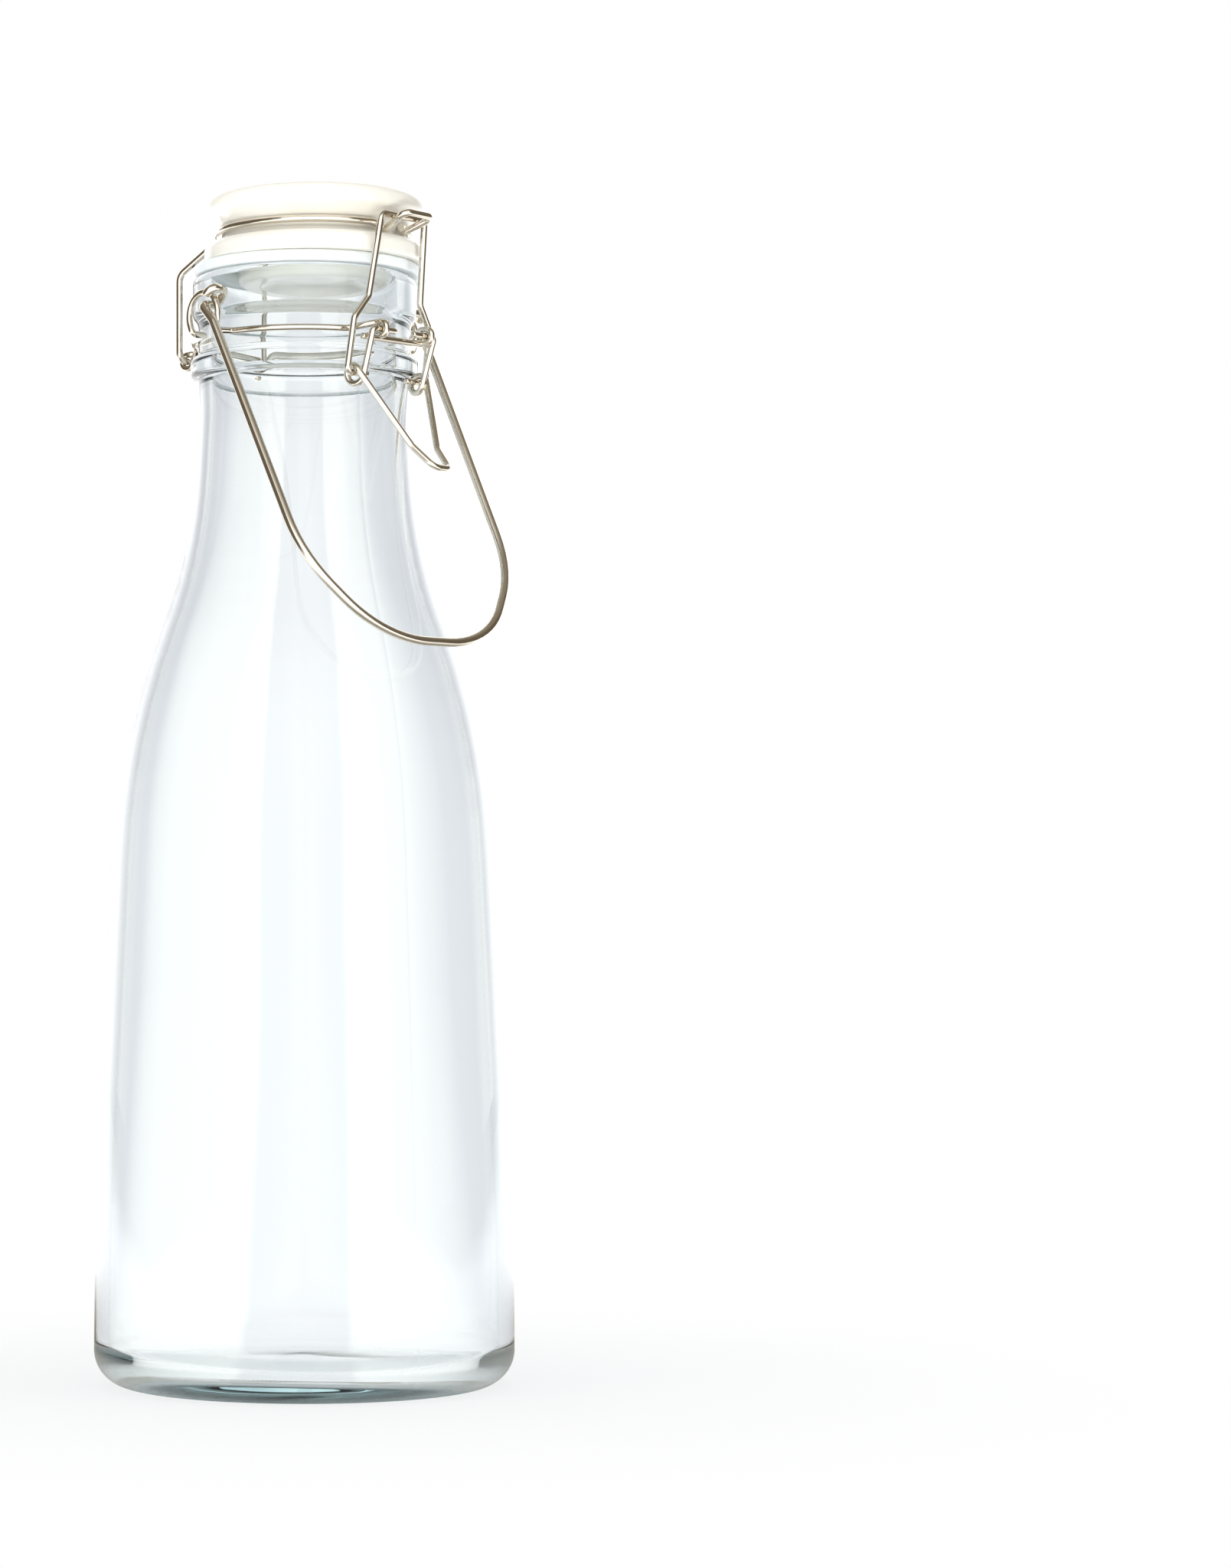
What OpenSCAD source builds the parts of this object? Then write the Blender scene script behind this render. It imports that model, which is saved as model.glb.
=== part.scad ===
/* [Bottle] */
// Greatest diameter of the body, just above the heel
body_d = 97; // [80:1:110]
// Diameter of the body where the shoulder begins
shoulder_d = 88; // [74:1:96]
// Height at which the shoulder begins to turn in
shoulder_z = 122; // [100:1:150]
// Diameter of the neck at its narrowest
neck_d = 48.4; // [46:0.2:52]
// Height of the narrowest place of the neck
neck_z = 223; // [205:1:240]
// Diameter of the finish, the thick collar at the mouth
finish_d = 51.6; // [50:0.2:56]
// Height of the rim that the gasket seats on
rim_z = 254.4; // [245:0.2:275]
// Thickness of the side wall
glass_wall = 3; // [2:0.1:4]
// Thickness of the glass under the inside floor at its edge
base_thick = 5.4; // [4:0.2:8]
// Rise of the hollow under the base
punt_rise = 3.5; // [1:0.5:6]
// Radius of the heel that rounds the wall into the base
heel_r = 8.3; // [5:0.1:12]
// Bore of the mouth
mouth_d = 43; // [42.6:0.1:44]

/* [Lid] */
// Diameter of both rolled rims of the ceramic lid
lid_d = 51.6; // [50:0.2:54]
// Height of the ceramic lid above the gasket
lid_h = 15.9; // [14:0.1:18]
// Diameter at the bottom of the lid's wire groove
lid_groove_d = 43; // [38:0.2:45]
// Diameter of the plug that reaches into the mouth
plug_d = 35.2; // [30:0.2:35.6]
// Length of the plug below the gasket's underside
plug_h = 2.5; // [1:0.5:8]
// Distance by which the wire draws the lid toward the latch
lid_shift = 3.3; // [1:0.1:3.4]

/* [Gasket] */
// Distance by which the gasket lies toward the latch
gasket_shift = 1; // [0.5:0.1:2]
// Thickness of the silicone gasket
gasket_t = 2.6; // [1.5:0.1:4]
// Diameter of the gasket
gasket_d = 51.6; // [50:0.2:54]
// Length of the gasket's pull tab
tab_l = 4; // [2:0.5:8]
// Width of the gasket's pull tab
tab_w = 8; // [5:0.5:12]

/* [Wires] */
// Thickness of the wire in the lid's groove
lid_wire_d = 1.6; // [1.3:0.05:1.8]
// Thickness of the wire ring round the neck
ring_wire_d = 1.45; // [1.2:0.05:1.6]
// Thickness of the wire of the latch link
link_wire_d = 1.5; // [1.3:0.05:1.6]
// Thickness of the wire of the latch lever
lever_wire_d = 1.5; // [1.3:0.05:1.6]
// Thickness of the wire of the carrying handle
handle_wire_d = 2.05; // [1.8:0.05:2.3]
// Radial play of a wire in an eye that it turns in
eye_play = 0.1; // [0.05:0.01:0.2]

/* [Latch] */
// Distance of the lever's pivot from the bottle's axis
pivot_r = 30.2; // [29.5:0.1:32]
// Height of the lever's pivot below the rim
pivot_drop = 15.4; // [15:0.1:17]
// Reach of the lever from its pivot down to the pin of the link
crank_drop = 9.7; // [9:0.1:11]
// Distance that the pin stands inward of the pivot when closed
crank_in = 5.2; // [4.8:0.1:5.4]
// Distance between the middles of the two front eyes
eye_span = 15.6; // [14:0.2:17]
// Width of the lever over its pivot bends
lever_span = 21; // [20:0.2:22]
// Distance from the pivot out to the tip of the lever
thumb_out = 11.2; // [9:0.2:14]
// Distance from the pivot down to the tip of the lever
thumb_drop = 31.4; // [26:0.2:36]
// Width of the link at its crossbar
link_top_w = 14.8; // [14:0.2:16]
// Width of the link beside the lever
link_low_w = 27; // [26.6:0.2:29]

/* [Handle] */
// Length of the handle from its hinge line to the middle of its bow
handle_l = 88.3; // [84:0.1:96]
// Distance between the handle's two hinge eyes
handle_span = 58.6; // [58.4:0.2:62]
// Angle at which the handle stands off from hanging straight down
handle_tilt = 29; // [28:1:36]
// Angle that the handle's hinge line is turned from the lid's hinge line
handle_turn = -9; // [-12:1:-6]

/* [Hidden] */
$fn = 48;

// Smoothness of the turned outlines, in degrees per step
outline_step = 4;
// Each bend of a wire reaches this far into its straight stretches, and is this much thinner all round
bend_lap = 0.06;
bend_inset = 0.01;
// Share of a circle's radius that its bends are given, so that each keeps a straight stretch
round_ease = 0.95;
// Distance kept between a wire and the glass or ceramic that it lies in
seat_gap = 0.1;

// Glass outline
body_r = body_d / 2;
finish_r = finish_d / 2;
neck_r = neck_d / 2;
mouth_r = mouth_d / 2;
foot_r = body_r - heel_r;
foot_w = 5;
belly_z = 40;
belly_r = body_r - 0.6;
slope = 0.367;
neck_taper = 0.06;
bead_r = finish_r + 0.5;
groove_r = neck_r + 0.4;
groove_low = rim_z - 18.2;
groove_top = rim_z - 11;

// Wire ring round the neck
ring_z = rim_z - 14.9;
ring_r = groove_r + seat_gap + ring_wire_d / 2;

// Lid and gasket
lid_r = lid_d / 2;
lid_z = rim_z + gasket_t;
lid_groove_z = 7;
lid_wire_r = lid_groove_d / 2 + seat_gap + lid_wire_d / 2;
lid_wire_z = lid_z + lid_groove_z;
tab_turn = -23;
seal_gap = 0.02;
gasket_hole_r = plug_d / 2 + lid_shift - gasket_shift + 0.15;

// Hinge of the lid, at the back
hinge_y = 27;
hinge_z = ring_z - 2.7;
hinge_span = 21;
hinge_leg_x = 13.3;
rear_eye_r = (lid_wire_d + ring_wire_d) / 2 + eye_play;

// Nose of the lid wire
nose_root = [3, -27.1, lid_wire_z - 1.9];
nose_tip = [5, -34.8, lid_wire_z + 1.1];

// Latch lever
pivot = [0, -pivot_r, rim_z - pivot_drop];
pin = pivot + [0, crank_in, -crank_drop];
front_eye_r = (lever_wire_d + ring_wire_d) / 2 + eye_play;
crossbar = [0, -30, lid_wire_z + 1.1];
lever_loop_r = 2;
loop_drop = lever_loop_r - (lever_wire_d + link_wire_d) / 2 - eye_play;
loop_centre = pin + unit(pin - crossbar) * loop_drop;
lever_loop_x = 11.6;
thumb_bend = pivot + [4.4, -6.1, -26.4];
thumb_tip = pivot + [2.6, -thumb_out, -thumb_drop];

// Latch link
link_stub_x = 6.6;

// Carrying handle
ear_x = handle_span / 2;
ear_r = 5.2;
ear_foot = 4.1;
ear_step = 45;
ear_corners = 5;
ear_room = 13;
ring_back_a = 58;
ring_front_a = -60;
bar_past_eye = 3.5;
ear_z = ring_z + 3.65;
eye_half = (ring_wire_d + handle_wire_d) / 2 + 0.46;
eye_reach = ear_r + (ring_wire_d + handle_wire_d) / 2 + 0.8;
eye_root = ear_r - (ring_wire_d + handle_wire_d) / 2 - 0.5;
eye_lean = 106;
leg_set = 4.6;
bow_half = handle_span / 2 + 1.1;

function unit(v) = v / norm(v);
function clamp_one(x) = max(-1, min(1, x));
function turn_at(a, b, c) = acos(clamp_one(unit(b - a) * unit(c - b)));
function trim_at(pts, radii, i) =
    i <= 0 || i >= len(pts) - 1 ? 0 : radii[i] * tan(turn_at(pts[i - 1], pts[i], pts[i + 1]) / 2);
function flip_x(pts) = [for (p = pts) [-p[0], p[1], p[2]]];
function backward(pts) = [for (i = [len(pts) - 1 : -1 : 0]) pts[i]];
function side_of(v) = unit(cross(v, abs(v[2]) < 0.9 ? [0, 0, 1] : [1, 0, 0]));

// Points of the arc of radius r that rounds the corner b of an outline a-b-c
function fillet(a, b, c, r) =
    let (
        u = unit(a - b),
        v = unit(c - b),
        turn = 180 - acos(clamp_one(u * v)),
        reach = r * tan(turn / 2),
        middle = b + unit(u + v) * r / cos(turn / 2),
        start = b + u * reach,
        steps = max(2, ceil(turn / outline_step)),
        way = u[0] * v[1] - u[1] * v[0] > 0 ? -1 : 1,
        first = atan2(start[1] - middle[1], start[0] - middle[0])
    )
    [for (i = [0 : steps]) middle + r * [cos(first + way * turn * i / steps), sin(first + way * turn * i / steps)]];

// Outline through corners [r, z, fillet radius]
function outline(corners) = [
    for (i = [0 : len(corners) - 1])
        let (p = [corners[i][0], corners[i][1]])
        if (corners[i][2] == 0) p
        else each fillet(
            [corners[i - 1][0], corners[i - 1][1]], p,
            [corners[i + 1][0], corners[i + 1][1]], corners[i][2])
];

module turned(corners) rotate_extrude($fn = 96) polygon(outline(corners));

module placed(x, y, z, o) multmatrix([
    [x[0], y[0], z[0], o[0]],
    [x[1], y[1], z[1], o[1]],
    [x[2], y[2], z[2], o[2]],
    [0, 0, 0, 1]
]) children();

// Round wire along the points, bent to the given radius at each one
module wire(pts, radii, d) {
    last = len(pts) - 1;
    for (i = [0 : last - 1]) {
        u = unit(pts[i + 1] - pts[i]);
        n = side_of(u);
        start = trim_at(pts, radii, i);
        length = norm(pts[i + 1] - pts[i]) - start - trim_at(pts, radii, i + 1);
        placed(n, cross(u, n), u, pts[i] + u * start) cylinder(h = length, d = d);
    }
    for (i = [1 : last - 1]) {
        u = unit(pts[i] - pts[i - 1]);
        v = unit(pts[i + 1] - pts[i]);
        turn = turn_at(pts[i - 1], pts[i], pts[i + 1]);
        n = unit(v - u * (u * v));
        centre = pts[i] - u * trim_at(pts, radii, i) + n * radii[i];
        lap = bend_lap / radii[i] * 180 / PI;
        placed(-n, u, cross(-n, u), centre)
            rotate([0, 0, -lap])
            rotate_extrude(angle = turn + 2 * lap)
            translate([radii[i], 0])
            circle(d = d - 2 * bend_inset);
    }
}

// Eye of wire with its hole along X
module eye(centre, r, d) translate(centre) rotate([0, 90, 0]) rotate_extrude() translate([r, 0]) circle(d = d);

// Corner points that carry a bent wire round a circle from angle a to angle b
function round_bend(centre, r, z, a, b, steps) =
    let (half = (b - a) / steps / 2)
    [for (i = [0 : steps - 1])
        let (t = a + half * (2 * i + 1))
        [centre[0] + r / cos(half) * cos(t), centre[1] + r / cos(half) * sin(t), z]];
// Point on that circle at angle a, moved along the tangent by the given length
function on_circle(centre, r, z, a, along = 0) =
    [centre[0] + r * cos(a) - along * sin(a), centre[1] + r * sin(a) + along * cos(a), z];

module bottle_glass() color("#dfeeee", 0.45) {
    taper_corner_z = 147.8 - 122 + shoulder_z;
    taper_corner_r = shoulder_d / 2 - 1.3;
    neck_corner_z = taper_corner_z + (taper_corner_r - neck_r - 1.8) / slope;
    neck_corner_r = neck_r + neck_taper * (neck_z - neck_corner_z);
    w = glass_wall;
    turned([
        [0, punt_rise, 0],
        [foot_r - foot_w, 0, 6],
        [body_r, 0, heel_r],
        [belly_r + 0.2, belly_z, 500],
        [taper_corner_r, taper_corner_z, 180],
        [neck_corner_r, neck_corner_z, 110],
        [neck_r, neck_z, 60],
        [neck_r + 0.3, groove_low - 5.6, 0.8],
        [bead_r, groove_low - 5, 1.3],
        [bead_r, groove_low - 0.8, 1.3],
        [groove_r, groove_low, 0.9],
        [groove_r, groove_top, 3],
        [finish_r, groove_top + 1.6, 2.5],
        [finish_r, rim_z, 1.9],
        [mouth_r, rim_z, 1.6],
        [mouth_r, groove_low, 12],
        [neck_r - w, neck_z, 60],
        [neck_corner_r - w, neck_corner_z, 110],
        [taper_corner_r - w, taper_corner_z, 177],
        [belly_r - w, belly_z, 500],
        [body_r - w, base_thick, 14],
        [0, base_thick + punt_rise * 0.6, 0]
    ]);
}

module lid() color("ivory")
    translate([0, -lid_shift, lid_z]) turned([
        [0, lid_h, 0],
        [lid_r - 6, lid_h - 0.1, 30],
        [lid_r, lid_h - 1.2, 2.4],
        [lid_r, lid_h - 4.6, 2.2],
        [lid_groove_d / 2 + 1.2, lid_groove_z + 2.1, 2],
        [lid_groove_d / 2, lid_groove_z + 1.2, 1],
        [lid_groove_d / 2, lid_groove_z - 1.3, 1],
        [lid_groove_d / 2 + 1.2, lid_groove_z - 2, 1.5],
        [lid_r - 0.2, lid_groove_z - 3, 2],
        [lid_r - 0.2, 0, 0.8],
        [plug_d / 2, 0, 0.4],
        [plug_d / 2, -gasket_t - plug_h, 1.6],
        [plug_d / 2 - 5, -gasket_t - plug_h, 1.5],
        [plug_d / 2 - 8, -gasket_t - plug_h + 1.6, 2],
        [0, -gasket_t - plug_h + 2, 0]
    ]);

module gasket() color("white", 0.8)
    translate([0, -gasket_shift, rim_z + seal_gap]) {
        height = gasket_t - 2 * seal_gap;
        tab_h = height - 0.6;
        turned([
            [gasket_hole_r, 0, 0],
            [gasket_d / 2, 0, 0.7],
            [gasket_d / 2, height, 0.7],
            [gasket_hole_r, height, 0]
        ]);
        rotate([0, 0, tab_turn]) hull() {
            translate([gasket_d / 2 - 2, -tab_w / 2, 0.3]) cube([1, tab_w, tab_h]);
            translate([gasket_d / 2 + tab_l - 2, 0, 0.3]) cylinder(h = tab_h, d = 4, $fn = 32);
        }
    }

module lid_wire() color("silver") {
    centre = [0, -lid_shift];
    half = concat(
        [
            [hinge_span / 2 - 2, hinge_y, hinge_z],
            [hinge_leg_x, hinge_y, hinge_z],
            [hinge_leg_x, hinge_y, lid_z - 0.5],
            on_circle(centre, lid_wire_r, lid_wire_z, 55, 2.6)
        ],
        round_bend(centre, lid_wire_r, lid_wire_z, 55, -75, 5),
        [
            on_circle(centre, lid_wire_r, lid_wire_z, -75, -1.4),
            nose_root,
            nose_tip
        ]
    );
    radii = concat([0, 2, 3, 3], [for (i = [1 : 5]) round_ease * lid_wire_r], [3, 1.4, 1.8]);
    wire(concat(half, backward(flip_x(half))), concat(radii, backward(radii)), lid_wire_d);
}

// Corner points of one side of the neck ring, from the middle of the back to the end of the front eye
function ring_side(ear_a) =
    let (
        rear = [hinge_span / 2, hinge_y, hinge_z],
        front = [eye_span / 2, pivot[1], pivot[2]],
        rr = rear_eye_r,
        fr = front_eye_r
    )
    concat(
        [
            rear + [0, -1.5, rr],
            rear + [0, rr, rr],
            rear + [0, rr, -rr],
            rear + [0, -1, -rr],
            on_circle([0, 0], ring_r, ring_z, ring_back_a, 2)
        ],
        round_bend([0, 0], ring_r, ring_z, ring_back_a, ear_a + ear_room, 2),
        backward(ear_points(ear_a)),
        round_bend([0, 0], ring_r, ring_z, ear_a - ear_room, ring_front_a, 2),
        [
            on_circle([0, 0], ring_r, ring_z, ring_front_a, -2),
            front + [0, 1.5, fr],
            front + [0, -fr, fr],
            front + [0, -fr, -fr]
        ]
    );
ring_side_bends = concat(
    [0.9, round_ease * rear_eye_r, round_ease * rear_eye_r, 1, 3],
    [for (i = [1 : 2]) round_ease * ring_r],
    [1, 0.9],
    [for (i = [0 : ear_corners - 1]) round_ease * ear_r],
    [0.9, 1],
    [for (i = [1 : 2]) round_ease * ring_r],
    [3, 1, round_ease * front_eye_r, round_ease * front_eye_r]
);

module neck_ring() color("silver") {
    front = [eye_span / 2, pivot[1], pivot[2] - front_eye_r];
    // the left end stops under its eye, and the right one runs across the front past it
    left_end = [-front[0], front[1] + 0.2, front[2]];
    right_turn = front + [0, 1.5, 0];
    right_end = [-eye_span / 2 - bar_past_eye, front[1] + 2.7, front[2] - 0.1];
    wire(
        concat(
            [left_end],
            backward(flip_x(ring_side(-handle_turn))),
            ring_side(handle_turn),
            [right_turn, right_end]
        ),
        concat([0], backward(ring_side_bends), ring_side_bends, [0.9, 0]),
        ring_wire_d
    );
}

// Corner points of the ear that the handle hooks into, standing off the ring at angle a
function ear_points(a) =
    let (
        stood_off = function (t, z) [ear_x * cos(a) - t * sin(a), ear_x * sin(a) + t * cos(a), z],
        wide = ear_r / cos(ear_step / 2)
    )
    concat(
        [on_circle([0, 0], ring_r, ring_z, a - ear_room, 0.8), stood_off(-ear_foot, ring_z)],
        [
            for (i = [0 : ear_corners - 1])
                let (t = 90 + ((ear_corners - 1) / 2 - i) * ear_step)
                stood_off(wide * cos(t), ear_z + wide * sin(t))
        ],
        [stood_off(ear_foot, ring_z), on_circle([0, 0], ring_r, ring_z, a + ear_room, -0.8)]
    );

module latch_link() color("silver") {
    top = [link_top_w / 2, crossbar[1], crossbar[2]];
    low = [link_low_w / 2, pin[1], pin[2]];
    jog_top = [link_top_w / 2 + 1.5, 0, 0] + link_line(0.52);
    jog_low = [link_low_w / 2 - 0.6, 0, 0] + link_line(0.66);
    half = [[link_stub_x, pin[1], pin[2]], low, jog_low, jog_top, top];
    radii = [0, 1.4, 2, 2, 1.6];
    wire(concat(half, backward(flip_x(half))), concat(radii, backward(radii)), link_wire_d);
}

// Point on the link's middle line, from the crossbar (0) to the pin (1)
function link_line(t) = [0, crossbar[1] + (pin[1] - crossbar[1]) * t, crossbar[2] + (pin[2] - crossbar[2]) * t];

// Angle, seen along X, at which a line from point p touches the circle of radius r round c on side s
function touch_angle(c, p, r, s) = atan2(p[2] - c[2], p[1] - c[1]) + s * acos(r / norm([p[1] - c[1], p[2] - c[2]]));
function touch_point(c, p, r, s) = c + r * [0, cos(touch_angle(c, p, r, s)), sin(touch_angle(c, p, r, s))];

module latch_lever() color("silver") {
    loop = [lever_loop_x, loop_centre[1], loop_centre[2]];
    bend = [lever_span / 2, pivot[1], pivot[2]];
    strand = touch_point(loop, bend, lever_loop_r, 1);
    leg = touch_point(loop, thumb_bend, lever_loop_r, -1);
    for (s = [-1, 1]) {
        mine = function (pts) s > 0 ? pts : flip_x(pts);
        eye([s * lever_loop_x, loop_centre[1], loop_centre[2]], lever_loop_r, lever_wire_d);
        wire(mine([[eye_span / 2 - 4.8, pivot[1], pivot[2]], bend, strand]), [0, 1.1, 0], lever_wire_d);
    }
    arm = [leg, thumb_bend, thumb_tip];
    arm_radii = [0, 4, 2.2];
    wire(concat(arm, backward(flip_x(arm))), concat(arm_radii, backward(arm_radii)), lever_wire_d);
}

module handle() color("silver")
    rotate([0, 0, handle_turn]) translate([0, 0, ear_z]) rotate([-handle_tilt, 0, 0]) {
        out = [ear_x + eye_half, 0, 0];
        in = [ear_x - eye_half, 0, 0];
        lean = [0, -sin(eye_lean), -cos(eye_lean)];
        half = [
            out + lean * (eye_root + 2.6),
            out + lean * eye_reach,
            in + lean * eye_reach,
            in + lean * eye_root,
            out + lean * eye_root,
            [ear_x + eye_half, -leg_set, -5],
            [bow_half, -leg_set, -handle_l + 21],
            [15.5, -leg_set, -handle_l]
        ];
        radii = [0, 1.9, 1.9, 1.9, 1.9, 3, 30, 24];
        wire(concat(half, backward(flip_x(half))), concat(radii, backward(radii)), handle_wire_d);
    }

bottle_glass();
neck_ring();
lid();
gasket();
lid_wire();
latch_link();
latch_lever();
handle();
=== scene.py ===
import math

import bmesh
import bpy
from mathutils import Matrix, Vector


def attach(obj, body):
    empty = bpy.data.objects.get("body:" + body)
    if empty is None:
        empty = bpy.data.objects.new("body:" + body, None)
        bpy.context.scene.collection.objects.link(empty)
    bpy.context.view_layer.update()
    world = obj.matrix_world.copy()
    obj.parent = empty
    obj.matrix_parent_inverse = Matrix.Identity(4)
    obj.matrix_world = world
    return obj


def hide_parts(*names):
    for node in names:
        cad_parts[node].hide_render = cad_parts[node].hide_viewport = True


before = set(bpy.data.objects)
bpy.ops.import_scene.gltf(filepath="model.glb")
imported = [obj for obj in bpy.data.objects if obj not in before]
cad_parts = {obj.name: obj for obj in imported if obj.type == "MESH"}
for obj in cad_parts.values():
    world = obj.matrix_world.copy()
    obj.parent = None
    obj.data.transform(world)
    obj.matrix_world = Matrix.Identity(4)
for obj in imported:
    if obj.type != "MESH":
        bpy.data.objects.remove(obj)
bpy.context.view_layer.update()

MM = 0.001

# ---------------------------------------------------------------- sizes, in mm, as in part.scad
BODY_R, SHOULDER_R, SHOULDER_Z = 48.5, 44.0, 122.0
NECK_R, NECK_Z = 24.2, 223.0
FINISH_R, RIM_Z, MOUTH_R = 25.8, 254.4, 21.5
WALL, BASE, PUNT, HEEL, FOOT_W = 3.0, 5.4, 3.5, 8.3, 5.0
BELLY_R, BELLY_Z = BODY_R - 0.6, 40.0
TAPER_Z, TAPER_R, SLOPE, NECK_TAPER = SHOULDER_Z + 25.8, SHOULDER_R - 1.3, 0.367, 0.06
# In the look only: the inner floor's height at its edge, lower than the solid's, and its rise to the middle
LOOK_BASE, LOOK_RISE = BASE - 1.0, 0.9 * PUNT
BEAD_R = FINISH_R + 0.5
GROOVE_R = NECK_R + 0.4
GROOVE_LOW, GROOVE_TOP = RIM_Z - 18.2, RIM_Z - 11
LID_R, LID_H, LID_GROOVE_R, LID_GROOVE_Z = 25.8, 15.9, 21.5, 7.0
PLUG_R, PLUG_H, LID_SHIFT = 17.6, 2.5, 3.3
GASKET_T, GASKET_R, GASKET_SHIFT, SEAL = 2.6, 25.8, 1.0, 0.02
TAB_L, TAB_W, TAB_TURN = 4.0, 8.0, -23.0
LID_Z = RIM_Z + GASKET_T
LID_WIRE_D, RING_WIRE_D, LINK_WIRE_D, LEVER_WIRE_D, HANDLE_WIRE_D = 1.6, 1.45, 1.5, 1.5, 2.05
PLAY, SEAT, EASE = 0.1, 0.1, 0.95
# In the look only: the broken edge of a cut wire end
CUT_EASE = 0.18
RING_Z = RIM_Z - 14.9
RING_R = GROOVE_R + SEAT + RING_WIRE_D / 2
LID_WIRE_R = LID_GROOVE_R + SEAT + LID_WIRE_D / 2
LID_WIRE_Z = LID_Z + LID_GROOVE_Z
HINGE_Y, HINGE_Z, HINGE_SPAN, HINGE_LEG_X = 27.0, RING_Z - 2.7, 21.0, 13.3
REAR_EYE_R = (LID_WIRE_D + RING_WIRE_D) / 2 + PLAY
NOSE_ROOT = (3.0, -27.1, LID_WIRE_Z - 1.9)
NOSE_TIP = (5.0, -34.8, LID_WIRE_Z + 1.1)
LID_WIRE_BACK, LID_WIRE_FRONT, LID_WIRE_BENDS = 55.0, -75.0, 5
PIVOT = (0.0, -30.2, RIM_Z - 15.4)
PIN = (0.0, PIVOT[1] + 5.2, PIVOT[2] - 9.7)
EYE_SPAN, LEVER_SPAN = 15.6, 21.0
FRONT_EYE_R = (LEVER_WIRE_D + RING_WIRE_D) / 2 + PLAY
LOOP_R = 2.0
LOOP_DROP = LOOP_R - (LEVER_WIRE_D + LINK_WIRE_D) / 2 - PLAY
LOOP_X_IN, LOOP_X_OUT, LOOP_STEPS = 10.2, 11.8, 44
THUMB_BEND = (4.4, PIVOT[1] - 6.1, PIVOT[2] - 26.4)
THUMB_TIP = (2.6, PIVOT[1] - 11.2, PIVOT[2] - 31.4)
LINK_TOP_W, LINK_LOW_W, LINK_STUB_X = 14.8, 27.0, 6.6
CROSSBAR = (0.0, -30.0, LID_WIRE_Z + 1.1)
HANDLE_L, HANDLE_SPAN, HANDLE_TILT, HANDLE_TURN = 88.3, 58.6, 29.0, -9.0
EAR_X, EAR_R, EAR_FOOT, EAR_STEP, EAR_CORNERS, EAR_ROOM = HANDLE_SPAN / 2, 5.2, 4.1, 45.0, 5, 13.0
EAR_Z = RING_Z + 3.65
RING_BACK, RING_FRONT, BAR_PAST_EYE = 58.0, -60.0, 3.5
HOOK_HALF = (RING_WIRE_D + HANDLE_WIRE_D) / 2 + 0.46
HOOK_REACH = EAR_R + (RING_WIRE_D + HANDLE_WIRE_D) / 2 + 0.8
HOOK_ROOT = EAR_R - (RING_WIRE_D + HANDLE_WIRE_D) / 2 - 0.5
HOOK_LEAN, HOOK_TAIL, LEG_SET = 106.0, 2.6, 4.6
BOW_HALF, BOW_FLAT, BOW_RISE = HANDLE_SPAN / 2 + 1.1, 15.5, 21.0


# ---------------------------------------------------------------- mesh helpers
def new_mesh(name, verts, faces):
    """Smooth-shaded object from points in mm."""
    mesh = bpy.data.meshes.new(name)
    mesh.from_pydata([tuple(c * MM for c in v) for v in verts], [], faces)
    mesh.validate()
    bm = bmesh.new()
    bm.from_mesh(mesh)
    bmesh.ops.recalc_face_normals(bm, faces=bm.faces)
    bm.to_mesh(mesh)
    bm.free()
    mesh.shade_smooth()
    obj = bpy.data.objects.new(name, mesh)
    bpy.context.scene.collection.objects.link(obj)
    return obj


def fillet(a, b, c, r, step=3.0):
    """Points of the arc of radius r that rounds corner b of the outline a-b-c."""
    a, b, c = Vector(a), Vector(b), Vector(c)
    u, v = (a - b).normalized(), (c - b).normalized()
    turn = math.pi - u.angle(v)
    reach = r * math.tan(turn / 2)
    centre = b + (u + v).normalized() * (r / math.cos(turn / 2))
    start = b + u * reach
    n = max(3, math.ceil(math.degrees(turn) / step))
    way = -1 if u.x * v.y - u.y * v.x > 0 else 1
    first = math.atan2(start.y - centre.y, start.x - centre.x)
    angles = [first + way * turn * i / n for i in range(n + 1)]
    return [(centre.x + r * math.cos(t), centre.y + r * math.sin(t)) for t in angles]


def outline(corners, longest):
    """Rounded outline through corners (r, z, fillet), divided so that no stretch is over the longest."""
    pts = []
    for i, (r, z, f) in enumerate(corners):
        if f:
            pts += fillet(corners[i - 1][:2], (r, z), corners[i + 1][:2], f)
        else:
            pts.append((r, z))
    out = [pts[0]]
    for p, q in zip(pts, pts[1:]):
        n = max(1, math.ceil(math.dist(p, q) / longest))
        out += [(p[0] + (q[0] - p[0]) * k / n, p[1] + (q[1] - p[1]) * k / n) for k in range(1, n + 1)]
    return out


def lathe(name, pts, angles, shape, closed=False):
    """Turns the outline round Z; shape(i, r, z, angle) gives each point its place."""
    verts, rows = [], []
    for i, (r, z) in enumerate(pts):
        if r < 1e-6:
            rows.append([len(verts)])
            verts.append((0, 0, z))
            continue
        row = []
        for t in angles:
            rr, zz = shape(i, r, z, t)
            row.append(len(verts))
            verts.append((rr * math.cos(t), rr * math.sin(t), zz))
        rows.append(row)
    faces = []
    n = len(angles)
    pairs = list(zip(rows, rows[1:])) + ([(rows[-1], rows[0])] if closed else [])
    for p, q in pairs:
        for k in range(n):
            m = (k + 1) % n
            if len(p) == 1:
                faces.append((p[0], q[m], q[k]))
            elif len(q) == 1:
                faces.append((p[k], p[m], q[0]))
            else:
                faces.append((p[k], p[m], q[m], q[k]))
    return new_mesh(name, verts, faces)


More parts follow.
